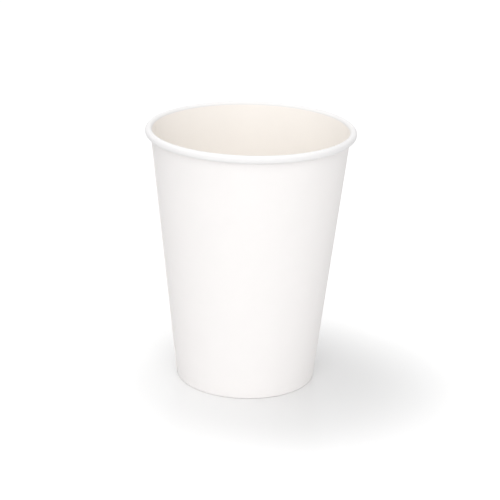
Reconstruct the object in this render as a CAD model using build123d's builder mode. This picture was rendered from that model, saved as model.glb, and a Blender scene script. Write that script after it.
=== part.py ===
from build123d import *

# Plain single-wall paper cup for hot drinks, in millimetres.
#
# +Z is up. The origin is the middle of the ring that the cup stands on.
# Two pieces of board: the side wall, one wrapped blank with a rolled rim and a folded foot, and the
# base disc, whose turned-down skirt is sealed inside the foot fold.

import os
from math import asin, atan2, cos, degrees, hypot, radians, sin, tan

# ---- Driving dimensions ------------------------------------------------------------------------

height = 112.6  # foot to the top of the rolled rim
rim_diameter = 90.0  # outside of the rolled rim, the size that a standard lid snaps over
foot_diameter = 60.0  # outside of the side wall, where it reaches the foot

board = 0.4  # thickness of the side wall blank
base_board = 0.4  # thickness of the base blank
film_gap = 0.03  # sealing film between two layers of board

roll_height = 3.3  # outside of the rolled rim, which is a little taller than it is wide
roll_width = 2.9
roll_gap = 0.2  # left between the tucked edge of the roll and the wall
tuck_turn = 150.0  # how far the edge goes on turning, in degrees, after the bottom of the roll

hem_height = 6.0  # foot to the upper edge of the folded hem
fold_radius = 0.25  # foot fold, to the middle of the board
base_depth = 8.0  # foot to the upper face of the base
base_bend_radius = 0.7  # bend from the base into its skirt, to the middle of the board
skirt_gap = 0.3  # left between the skirt's edge and the inside of the foot fold

lap_width = 8.0  # how far the wrapped blank overlaps itself
lap_ramp = 3.0  # length over which the outer layer climbs on to the inner one
lap_angle = 170.0  # where the blank's inner edge lies, in degrees about +Z from +X

# ---- Shared geometry ---------------------------------------------------------------------------

rim_radius = rim_diameter / 2
foot_radius = foot_diameter / 2

# The rolled rim: board round an upper and a lower centre, and a tighter tuck inside it.
roll_middle = (roll_width - board) / 2
roll_center = (rim_radius - roll_width / 2, height - roll_width / 2)
lower_center = (roll_center[0], roll_center[1] - (roll_height - roll_width))
tuck_middle = roll_middle - board - roll_gap
tuck_center = (lower_center[0], lower_center[1] - roll_middle + tuck_middle)

# The wall's outer face runs from the foot to a tangent of the roll's inner face.
roll_reach = hypot(roll_center[0] - foot_radius, roll_center[1])
roll_bore = roll_middle - board / 2
lean = atan2(roll_center[0] - foot_radius, roll_center[1]) - asin(roll_bore / roll_reach)
lean_degrees = degrees(lean)
level_board = board / cos(lean)  # the wall's thickness measured level

# From one board to the next, middle to middle, where they lie against each other in the foot.
skirt_pitch = board / 2 + film_gap + base_board / 2
hem_pitch = 2 * skirt_pitch


def wall_radius(z, inward=0.0):
    """Radius of a line parallel to the wall's outer face, that far inside it, at height z."""
    return foot_radius + z * tan(lean) - inward / cos(lean)


def around(radius, angle):
    """A point at a radius and an angle about +Z."""
    return (radius * cos(radians(angle)), radius * sin(radians(angle)))


# ---- Side wall ---------------------------------------------------------------------------------

floor_middle = board / 2
wall_foot = (wall_radius(floor_middle, board / 2), floor_middle)
hem_foot = (wall_radius(floor_middle, board / 2 + hem_pitch), floor_middle)
hem_edge = (wall_radius(hem_height, board / 2 + hem_pitch), hem_height)
roll_start = (roll_center[0] - roll_middle * cos(lean), roll_center[1] + roll_middle * sin(lean))

# The lap runs up from the foot fold and into the underside of the roll.
lap_foot = fold_radius + board / 2
lap_top = tuck_center[1]
lap_inner_foot = base_depth
lap_inner_top = height - roll_height

with BuildPart() as side_wall:
    # The blank's section: hem, foot fold, wall, rolled rim and tucked edge.
    with BuildSketch(Plane.XZ):
        with BuildLine():
            FilletPolyline(hem_edge, hem_foot, wall_foot, roll_start, radius=fold_radius)
            upper = CenterArc(roll_center, roll_middle, 180 - lean_degrees, lean_degrees - 180)
            lower = CenterArc(lower_center, roll_middle, 0, -90)
            Line(upper @ 1, lower @ 0)
            CenterArc(tuck_center, tuck_middle, -90, -tuck_turn)
        trace(line_width=board)
    revolve(axis=Axis.Z)

    # The lap's outer layer, which climbs on to the wall and ends in a square edge.
    for z in (lap_foot, lap_top):
        outside = wall_radius(z)
        ramp_angle = lap_angle - degrees(lap_ramp / outside)
        edge_angle = lap_angle + degrees(lap_width / outside)
        with BuildSketch(Plane.XY.offset(z)):
            with BuildLine():
                top = CenterArc((0, 0), outside + level_board, lap_angle, edge_angle - lap_angle)
                buried = outside - level_board / 2
                bottom = CenterArc((0, 0), buried, ramp_angle, edge_angle - ramp_angle)
                Line(top @ 1, bottom @ 1)
                Polyline(bottom @ 0, around(outside, ramp_angle), top @ 0)
            make_face()
    loft(ruled=True)

    # Inside, the wall climbs outwards the same way, up to the inner layer's square edge.
    for z in (lap_inner_foot, lap_inner_top):
        inside = wall_radius(z, board)
        ramp_angle = lap_angle - degrees(lap_ramp / inside)
        with BuildSketch(Plane.XY.offset(z)):
            with BuildLine():
                clear = inside - level_board
                Polyline(
                    around(inside, ramp_angle),
                    around(inside + level_board, lap_angle),
                    around(clear, lap_angle),
                    around(clear, ramp_angle),
                    close=True,
                )
            make_face()
    loft(ruled=True, mode=Mode.SUBTRACT)

side_wall.part.label = "side_wall"

# ---- Base disc ---------------------------------------------------------------------------------

base_middle = base_depth - base_board / 2
skirt_inset = board / 2 + skirt_pitch
skirt_end = board + skirt_gap

with BuildPart() as base_disc:
    with BuildSketch(Plane.XZ):
        with BuildLine():
            FilletPolyline(
                (0, base_middle),
                (wall_radius(base_middle, skirt_inset), base_middle),
                (wall_radius(skirt_end, skirt_inset), skirt_end),
                radius=base_bend_radius,
            )
        trace(line_width=base_board)
    revolve(axis=Axis.Z)

base_disc.part.label = "base_disc"

# ---- Files -------------------------------------------------------------------------------------

os.makedirs("parts", exist_ok=True)
export_step(side_wall.part, "parts/side_wall.step")
export_step(base_disc.part, "parts/base_disc.step")
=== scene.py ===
"""Studio view of a plain single-wall paper cup: wrapped and rolled side wall, raised base."""

from math import asin, atan2, cos, hypot, pi, radians, sin, tan

import bmesh
import bpy
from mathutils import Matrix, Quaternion, Vector


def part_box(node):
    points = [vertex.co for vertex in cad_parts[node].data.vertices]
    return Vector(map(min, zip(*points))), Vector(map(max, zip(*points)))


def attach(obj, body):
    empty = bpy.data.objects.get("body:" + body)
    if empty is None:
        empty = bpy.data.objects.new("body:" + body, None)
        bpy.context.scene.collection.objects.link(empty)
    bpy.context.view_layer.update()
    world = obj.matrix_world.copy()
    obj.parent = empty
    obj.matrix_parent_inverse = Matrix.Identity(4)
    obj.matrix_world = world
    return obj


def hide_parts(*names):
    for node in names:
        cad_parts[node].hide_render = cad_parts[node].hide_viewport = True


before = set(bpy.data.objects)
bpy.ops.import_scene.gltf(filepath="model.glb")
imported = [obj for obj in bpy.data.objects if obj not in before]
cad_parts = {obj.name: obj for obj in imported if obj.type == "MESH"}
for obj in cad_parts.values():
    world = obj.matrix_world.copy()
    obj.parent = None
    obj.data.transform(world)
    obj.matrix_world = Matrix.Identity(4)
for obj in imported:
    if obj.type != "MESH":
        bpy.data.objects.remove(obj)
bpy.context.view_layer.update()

MM = 0.001

wall_low, wall_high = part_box("side_wall")
base_low, base_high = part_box("base_disc")

# ---- Sizes of the cup ---------------------------------------------------------------------------

HEIGHT = wall_high.z
RIM_RADIUS = (wall_high.x - wall_low.x) / 2
FOOT_RADIUS = 30 * MM

BOARD = 0.4 * MM  # thickness of the side wall's board
BASE_BOARD = 0.4 * MM
FILM = 0.03 * MM  # sealing film between two layers

ROLL_HEIGHT = 3.3 * MM  # outside of the rolled rim, a little taller than it is wide
ROLL_WIDTH = 2.9 * MM
ROLL_GAP = 0.2 * MM  # left between the tucked edge and the wall
TUCK_TURN = radians(150)
FOLD_RADIUS = 0.4 * MM  # foot fold, to the middle of the board, rounder than in the CAD
HEM_HEIGHT = 6 * MM
BASE_BEND = 0.7 * MM  # bend from the base into its skirt

LAP_WIDTH = 8 * MM
LAP_RAMP = 3 * MM
LAP_ANGLE = radians(170)

RIM_STRIP = 4.9 * MM  # bare glossy board from the roll down to this far below the top
TURN_COLUMNS = 300  # columns of the blank's mesh in one whole turn
LAP_COLUMNS = 10  # more of them, where the blank overlaps itself
LAP_TOP = HEIGHT - ROLL_HEIGHT  # the overlap ends level with the roll's lowest point
LAP_FADE = 0.3 * MM  # height of the step down from the overlap to the foot fold
MERGE = 0.002 * MM  # points of a blank that are nearer than this become one
BASE_MERGE = 0.001 * MM
SHARP_EDGE = radians(40)  # cut edges of the board, against its smooth faces

HEM_ROWS = 4  # steps of the side wall section, stretch by stretch
FOLD_ROWS = 5
WALL_ROWS = 30
ROLL_FOOT_ROWS = 6
ROLL_TOP_ROWS = 18
ROLL_SIDE_ROWS = 9
TUCK_ROWS = 10
BASE_STEPS = 12  # steps of the base section, and of its turn round the axis
BEND_STEPS = 6
SPIN_STEPS = 192

# The rolled rim: board round an upper and a lower centre, with a tighter tuck inside it.
roll_middle = (ROLL_WIDTH - BOARD) / 2
roll_center = Vector((RIM_RADIUS - ROLL_WIDTH / 2, HEIGHT - ROLL_WIDTH / 2))
lower_center = roll_center - Vector((0, ROLL_HEIGHT - ROLL_WIDTH))
tuck_middle = roll_middle - BOARD - ROLL_GAP
tuck_center = lower_center - Vector((0, roll_middle - tuck_middle))

# The wall's outer face runs from the foot to a tangent of the roll's inner face.
reach = hypot(roll_center.x - FOOT_RADIUS, roll_center.y)
LEAN = atan2(roll_center.x - FOOT_RADIUS, roll_center.y) - asin((roll_middle - BOARD / 2) / reach)


def wall_radius(z, inward=0.0):
    """Radius, at height z, of the line that far inside the wall's outer face."""
    return FOOT_RADIUS + z * tan(LEAN) - inward / cos(LEAN)


# ---- Sections of the board ----------------------------------------------------------------------

def run(start, end, steps):
    """Points from start up to, but not including, end."""
    return [start.lerp(end, i / steps) for i in range(steps)]


def turn(center, radius, start, angle, steps):
    """Points round an arc, without its last one."""
    angles = [start + angle * i / steps for i in range(steps)]
    return [center + radius * Vector((cos(a), sin(a))) for a in angles]


def bend(corner, before, after, radius, steps):
    """An arc that rounds the corner between two straight stretches: its points, with the last one."""
    to_before = (before - corner).normalized()
    to_after = (after - corner).normalized()
    half = to_before.angle(to_after) / 2
    center = corner + (to_before + to_after).normalized() * radius / sin(half)
    first = corner + to_before * radius / tan(half) - center
    sweep = first.angle_signed(corner + to_after * radius / tan(half) - center)
    start = atan2(first.y, first.x)
    return turn(center, radius, start, -sweep, steps) + [corner + to_after * radius / tan(half)]


def wall_section():
    """Middle of the side wall's board, from the hem's edge, round the foot and up into the roll.

    It comes with the range of its points where the blank overlaps itself.
    """
    hem_inset = BOARD / 2 + 2 * (BOARD / 2 + FILM + BASE_BOARD / 2)
    hem_edge = Vector((wall_radius(HEM_HEIGHT, hem_inset), HEM_HEIGHT))
    hem_foot = Vector((wall_radius(BOARD / 2, hem_inset), BOARD / 2))
    wall_foot = Vector((wall_radius(BOARD / 2, BOARD / 2), BOARD / 2))
    roll_start = roll_center + roll_middle * Vector((-cos(LEAN), sin(LEAN)))
    fold_in = bend(hem_foot, hem_edge, wall_foot, FOLD_RADIUS, FOLD_ROWS)
    fold_out = bend(wall_foot, hem_foot, roll_start, FOLD_RADIUS, FOLD_ROWS)
    lap_foot = fold_out[-1].lerp(roll_start, LAP_FADE / roll_start.y)
    lap_top = Vector((wall_radius(LAP_TOP, BOARD / 2), LAP_TOP))
    points = run(hem_edge, fold_in[0], HEM_ROWS) + fold_in + fold_out
    first = len(points)
    points += run(lap_foot, lap_top, WALL_ROWS) + [lap_top]
    last = len(points) - 1
    points += run(lap_top, roll_start, ROLL_FOOT_ROWS)[1:]
    points += turn(roll_center, roll_middle, pi - LEAN, LEAN - pi, ROLL_TOP_ROWS)
    points += [roll_center + Vector((roll_middle, 0))]
    points += turn(lower_center, roll_middle, 0, -pi / 2, ROLL_SIDE_ROWS)
    points += turn(tuck_center, tuck_middle, -pi / 2, -TUCK_TURN, TUCK_ROWS)
    return points, range(first, last + 1)


def base_section():
    """Middle of the base's board, from the cup's axis out and down to the skirt's edge."""
    inset = BOARD + FILM + BASE_BOARD / 2
    level = base_high.z - BASE_BOARD / 2
    middle = Vector((0, level))
    corner = Vector((wall_radius(level, inset), level))
    edge = Vector((wall_radius(base_low.z, inset), base_low.z))
    flat = run(middle, corner, BASE_STEPS)[:-1]
    return flat + bend(corner, middle, edge, BASE_BEND, BEND_STEPS) + [edge]


# ---- Materials ----------------------------------------------------------------------------------

MOTTLE_SCALE = 90  # across a metre, as for the fibres
FIBRE_SCALE = 1400
FIBRE_STRETCH = (1, 1, 0.6)
CLOUD_ROUGHNESS = 0.6
CLOUD_LOW = 0.3  # the part of the noise's range that is spread over a colour or a roughness
CLOUD_HIGH = 0.7
MOTTLE_SHARE = 0.6  # the fibres have the rest
DARKEST = 0.982  # of the board's colour
TOOTH_STRENGTH = 0.2
TOOTH_DEPTH = 0.02 * MM


def clouds(tree, place, scale, detail, stretch=(1, 1, 1)):
    """Noise fixed to the piece."""
    mapping = tree.nodes.new("ShaderNodeMapping")
    mapping.inputs["Scale"].default_value = stretch
    texture = tree.nodes.new("ShaderNodeTexNoise")
    texture.inputs["Scale"].default_value = scale
    texture.inputs["Detail"].default_value = detail
    texture.inputs["Roughness"].default_value = CLOUD_ROUGHNESS
    tree.links.new(place.outputs["Object"], mapping.inputs["Vector"])
    tree.links.new(mapping.outputs["Vector"], texture.inputs["Vector"])
    return texture.outputs["Fac"]


def spread(tree, value, low, high):
    """The middle of the noise's range, spread from low to high."""
    node = tree.nodes.new("ShaderNodeMapRange")
    node.inputs["From Min"].default_value = CLOUD_LOW
    node.inputs["From Max"].default_value = CLOUD_HIGH
    node.inputs["To Min"].default_value = low
    node.inputs["To Max"].default_value = high
    tree.links.new(value, node.inputs["Value"])
    return node.outputs["Result"]


def tint(tree, value, dark, light):
    """A colour between dark, at 0, and light, at 1."""
    node = tree.nodes.new("ShaderNodeMix")
    node.data_type = "RGBA"
    for socket in node.inputs:
        if socket.name == "A" and socket.type == "RGBA":
            socket.default_value = (*dark, 1)
        if socket.name == "B" and socket.type == "RGBA":
            socket.default_value = (*light, 1)
    tree.links.new(value, node.inputs[0])
    return next(out for out in node.outputs if out.type == "RGBA")


def share(tree, mottle, fibres):
    """Mottle and fibres added by their shares."""
    blend = tree.nodes.new("ShaderNodeMath")
    blend.operation = "MULTIPLY_ADD"
    blend.inputs[1].default_value = MOTTLE_SHARE
    tree.links.new(mottle, blend.inputs[0])
    rest = tree.nodes.new("ShaderNodeMath")
    rest.operation = "MULTIPLY"
    rest.inputs[1].default_value = 1 - MOTTLE_SHARE
    tree.links.new(fibres, rest.inputs[0])
    tree.links.new(rest.outputs[0], blend.inputs[2])
    return blend.outputs[0]


def paper(name, color, roughness, gloss):
    """Smooth white board: cloudy fibres, a faint mottle and a fine tooth."""
    material = bpy.data.materials.new(name)
    material.use_nodes = True
    tree = material.node_tree
    shader = tree.nodes["Principled BSDF"]
    shader.inputs["Specular IOR Level"].default_value = gloss
    place = tree.nodes.new("ShaderNodeTexCoord")
    mottle = clouds(tree, place, MOTTLE_SCALE, detail=3)
    fibres = clouds(tree, place, FIBRE_SCALE, detail=8, stretch=FIBRE_STRETCH)
    dark = tuple(c * DARKEST for c in color)
    pattern = spread(tree, share(tree, mottle, fibres), 0, 1)
    tree.links.new(tint(tree, pattern, dark, color), shader.inputs["Base Color"])
    wear = spread(tree, fibres, roughness - 0.04, roughness + 0.06)
    tree.links.new(wear, shader.inputs["Roughness"])

    bump = tree.nodes.new("ShaderNodeBump")
    bump.inputs["Strength"].default_value = TOOTH_STRENGTH
    bump.inputs["Distance"].default_value = TOOTH_DEPTH
    tree.links.new(fibres, bump.inputs["Height"])
    tree.links.new(bump.outputs["Normal"], shader.inputs["Normal"])
    return material


outer_board = paper("outer_board", (0.93, 0.907, 0.897), roughness=0.7, gloss=0.2)
# partly painted light: the cream tint is partly the lining's own and partly painted bounce light from inside
# the cup, and the colour is set lighter than the outside to stand in for more light inside
inner_lining_and_painted_bounce = paper("inner_lining_and_painted_bounce", (0.99, 0.952, 0.908), roughness=0.45, gloss=0.4)
# painted shade: the roll is the same board as the rest, given a darker colour so that its upward-facing top
# does not clip to white under the lamps
roll_board_painted_shade = paper("roll_board_painted_shade", (0.87, 0.86, 0.86), roughness=0.5, gloss=0.2)
strip_board = paper("strip_board", (0.89, 0.88, 0.88), roughness=0.22, gloss=0.6)


# ---- Pieces -------------------------------------------------------------------------------------

def piece(name, bm, materials, thickness):
    """A finished piece of board: the sheet in bm, given its thickness, smooth and on the root body."""
    mesh = bpy.data.meshes.new(name)
    bm.to_mesh(mesh)
    bm.free()
    obj = bpy.data.objects.new(name, mesh)
    bpy.context.scene.collection.objects.link(obj)
    for material in materials:
        mesh.materials.append(material)
    for polygon in mesh.polygons:
        polygon.use_smooth = True
    shell = obj.modifiers.new("board", "SOLIDIFY")
    shell.thickness = thickness
    shell.offset = 0
    shell.use_even_offset = True
    bpy.context.view_layer.update()
    finished = obj.evaluated_get(bpy.context.evaluated_depsgraph_get())
    solid = bpy.data.meshes.new_from_object(finished)
    obj.modifiers.clear()
    solid.set_sharp_from_angle(angle=SHARP_EDGE)
    obj.data = solid
    solid.name = name
    bpy.data.meshes.remove(mesh)
    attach(obj, "root")
    return obj


def side_wall():
    """The blank: a grid whose columns wrap round the cup and whose rows follow the wall's section.

    The last columns lie over the first ones, and are cut away where the section has no overlap.
    """
    section, lapped = wall_section()
    rows = len(section)
    bm = bmesh.new()
    bmesh.ops.create_grid(bm, x_segments=TURN_COLUMNS + LAP_COLUMNS, y_segments=rows - 1, size=0.5)
    spare = []
    for vert in bm.verts:
        column = round((vert.co.x + 0.5) * (TURN_COLUMNS + LAP_COLUMNS))
        row = round((vert.co.y + 0.5) * (rows - 1))
        point = section[row]
        past = column - TURN_COLUMNS
        if past > 0:
            if row not in lapped:
                spare.append(vert)
            angle = 2 * pi + LAP_WIDTH / point.x * past / LAP_COLUMNS
        else:
            angle = 2 * pi * column / TURN_COLUMNS
        climb = (angle - 2 * pi) * point.x / LAP_RAMP + 1
        layer = (BOARD + FILM) * min(max(climb, 0), 1) if row in lapped else 0.0
        radius = point.x + layer * cos(LEAN)
        z = point.y - layer * sin(LEAN)
        angle += LAP_ANGLE
        vert.co = (radius * cos(angle), radius * sin(angle), z)
    bmesh.ops.delete(bm, geom=spare, context="VERTS")
    bmesh.ops.remove_doubles(bm, verts=bm.verts, dist=MERGE)
    bmesh.ops.recalc_face_normals(bm, faces=bm.faces)
    obj = piece("paper_side_wall", bm, [outer_board, inner_lining_and_painted_bounce, roll_board_painted_shade, strip_board], BOARD)
    inside_top = roll_center.y + roll_middle * sin(LEAN)
    for polygon in obj.data.polygons:
        middle = polygon.center
        distance = hypot(middle.x, middle.y)
        facing = Vector((middle.x, middle.y, 0)).dot(polygon.normal) < 0
        inner = facing and middle.z < inside_top and middle.z > base_low.z
        inner = inner and distance < wall_radius(middle.z, BOARD / 4) and middle.z > HEM_HEIGHT + MM
        # inside faces take the cream: partly the lining's tint, partly painted bounce light
        if inner:
            polygon.material_index = 1
        # the roll takes the darker copy of the board: painted shade
        elif middle.z > HEIGHT - ROLL_HEIGHT:
            polygon.material_index = 2
        elif middle.z > HEIGHT - RIM_STRIP:
            polygon.material_index = 3
    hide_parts("side_wall")
    return obj


def base_disc():
    """The base: its section spun once round, flat in the middle and turned down at the skirt."""
    bm = bmesh.new()
    verts = [bm.verts.new((p.x, 0, p.y)) for p in base_section()]
    edges = [bm.edges.new(pair) for pair in zip(verts, verts[1:])]
    bmesh.ops.spin(
        bm, geom=verts + edges, cent=(0, 0, 0), axis=(0, 0, 1), angle=2 * pi, steps=SPIN_STEPS, use_merge=True
    )
    bmesh.ops.remove_doubles(bm, verts=bm.verts, dist=BASE_MERGE)
    bmesh.ops.recalc_face_normals(bm, faces=bm.faces)
    obj = piece("paper_base_disc", bm, [outer_board, inner_lining_and_painted_bounce], BASE_BOARD)
    for polygon in obj.data.polygons:
        polygon.material_index = 1 if polygon.normal.z > 0.5 else 0
    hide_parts("base_disc")
    return obj


side_wall()
base_disc()


# ---- Floor, light and camera --------------------------------------------------------------------

LAMP_DISTANCE = 1.4
FLOOR_SIZE = 4
FLOOR_ROUGHNESS = 0.28
FLOOR_BOUNCE = 0.82  # tone of the floor for the light that it sends back
FLOOR_SEEN = 0.83  # its tone where it is seen
FLOOR_PAINTED_GLOW = 0.25  # painted light: an emission glow added where the floor is seen away from the cup, so that it ends pure white
SHADE_MIDDLE = (0.015, -0.015, 0)  # the painted glow is left out round this point, under the cup, so the floor keeps its shade there
WHITE_START = 0.035  # distances from that point over which the painted glow comes in
WHITE_END = 0.11
SURROUND = 0.67

CAMERA_PLACE = (0.00079, -0.73559, 0.31510)
CAMERA_AIM = (0.00079, 0, 0.05728)
CAMERA_SENSOR = 36
CAMERA_LENS = 129.08
CAMERA_ROLL = radians(1.4)


def seen_ray(tree):
    """1 on the rays that show the background: from the camera, in gloss and through glass."""
    path = tree.nodes.new("ShaderNodeLightPath")
    total = path.outputs["Is Camera Ray"]
    for name in ("Is Glossy Ray", "Is Transmission Ray"):
        add = tree.nodes.new("ShaderNodeMath")
        add.operation = "ADD"
        add.use_clamp = True
        tree.links.new(total, add.inputs[0])
        tree.links.new(path.outputs[name], add.inputs[1])
        total = add.outputs[0]
    return total


def floor():
    """A table top with a faint gloss, brought up to white away from the cup where it is seen, by a painted
    glow that grows with distance from a point under the cup.
    """
    bm = bmesh.new()
    bmesh.ops.create_grid(bm, x_segments=1, y_segments=1, size=FLOOR_SIZE)
    mesh = bpy.data.meshes.new("floor")
    bm.to_mesh(mesh)
    bm.free()
    obj = bpy.data.objects.new("floor", mesh)
    bpy.context.scene.collection.objects.link(obj)
    material = bpy.data.materials.new("table_top")
    material.use_nodes = True
    tree = material.node_tree
    shader = tree.nodes["Principled BSDF"]
    shader.inputs["Roughness"].default_value = FLOOR_ROUGHNESS
    seen = seen_ray(tree)
    tone = tree.nodes.new("ShaderNodeMix")
    tone.inputs[2].default_value = FLOOR_BOUNCE
    tone.inputs[3].default_value = FLOOR_SEEN
    tree.links.new(seen, tone.inputs[0])
    tree.links.new(tone.outputs[0], shader.inputs["Base Color"])

    place = tree.nodes.new("ShaderNodeTexCoord")
    distance = tree.nodes.new("ShaderNodeVectorMath")
    distance.operation = "DISTANCE"
    distance.inputs[1].default_value = SHADE_MIDDLE
    tree.links.new(place.outputs["Object"], distance.inputs[0])
    fade = tree.nodes.new("ShaderNodeMapRange")
    fade.interpolation_type = "SMOOTHSTEP"
    fade.inputs["From Min"].default_value = WHITE_START
    fade.inputs["From Max"].default_value = WHITE_END
    fade.inputs["To Max"].default_value = FLOOR_PAINTED_GLOW
    tree.links.new(distance.outputs["Value"], fade.inputs["Value"])
    # painted light: the floor glows where it is seen, more the further it lies from the shade's middle
    painted_glow = tree.nodes.new("ShaderNodeMath")
    painted_glow.operation = "MULTIPLY"
    tree.links.new(fade.outputs["Result"], painted_glow.inputs[0])
    tree.links.new(seen, painted_glow.inputs[1])
    shader.inputs["Emission Color"].default_value = (1, 1, 1, 1)
    tree.links.new(painted_glow.outputs[0], shader.inputs["Emission Strength"])
    mesh.materials.append(material)


def surround():
    """Even white light from all round, and plain white where it is seen."""
    world = bpy.data.worlds.new("studio")
    bpy.context.scene.world = world
    world.use_nodes = True
    tree = world.node_tree
    sky = tree.nodes["Background"]
    sky.inputs["Color"].default_value = (1, 1, 1, 1)
    level = tree.nodes.new("ShaderNodeMix")
    level.inputs[2].default_value = SURROUND
    level.inputs[3].default_value = 1.0
    tree.links.new(seen_ray(tree), level.inputs[0])
    tree.links.new(level.outputs[0], sky.inputs["Strength"])


def soft_box(name, bearing, rise, size, watts):
    """A square soft box round the cup: its bearing in degrees from the front, and its height angle."""
    data = bpy.data.lights.new(name, "AREA")
    data.shape = "SQUARE"
    data.size = size
    data.energy = watts
    side, up = radians(bearing), radians(rise)
    offset = Vector((sin(side) * cos(up), -cos(side) * cos(up), sin(up))) * LAMP_DISTANCE
    obj = bpy.data.objects.new(name, data)
    obj.location = Vector((0, 0, HEIGHT / 2)) + offset
    obj.rotation_mode = "QUATERNION"
    obj.rotation_quaternion = (-offset).to_track_quat("-Z", "Y")
    bpy.context.scene.collection.objects.link(obj)


def camera():
    """A long lens from the front and well above the rim, very slightly rolled."""
    data = bpy.data.cameras.new("camera")
    data.sensor_width = CAMERA_SENSOR
    data.lens = CAMERA_LENS
    obj = bpy.data.objects.new("camera", data)
    obj.location = CAMERA_PLACE
    aim = Vector(CAMERA_AIM)
    obj.rotation_mode = "QUATERNION"
    level = (aim - obj.location).to_track_quat("-Z", "Y")
    obj.rotation_quaternion = level @ Quaternion((0, 0, 1), CAMERA_ROLL)
    bpy.context.scene.collection.objects.link(obj)
    bpy.context.scene.camera = obj


floor()
surround()
soft_box("left_top", bearing=-105, rise=75, size=0.8, watts=4.7)
soft_box("front_middle", bearing=0, rise=45, size=1.0, watts=4.1)
soft_box("front_low", bearing=0, rise=20, size=1.0, watts=4.4)
camera()
bpy.context.scene.view_settings.view_transform = "Standard"
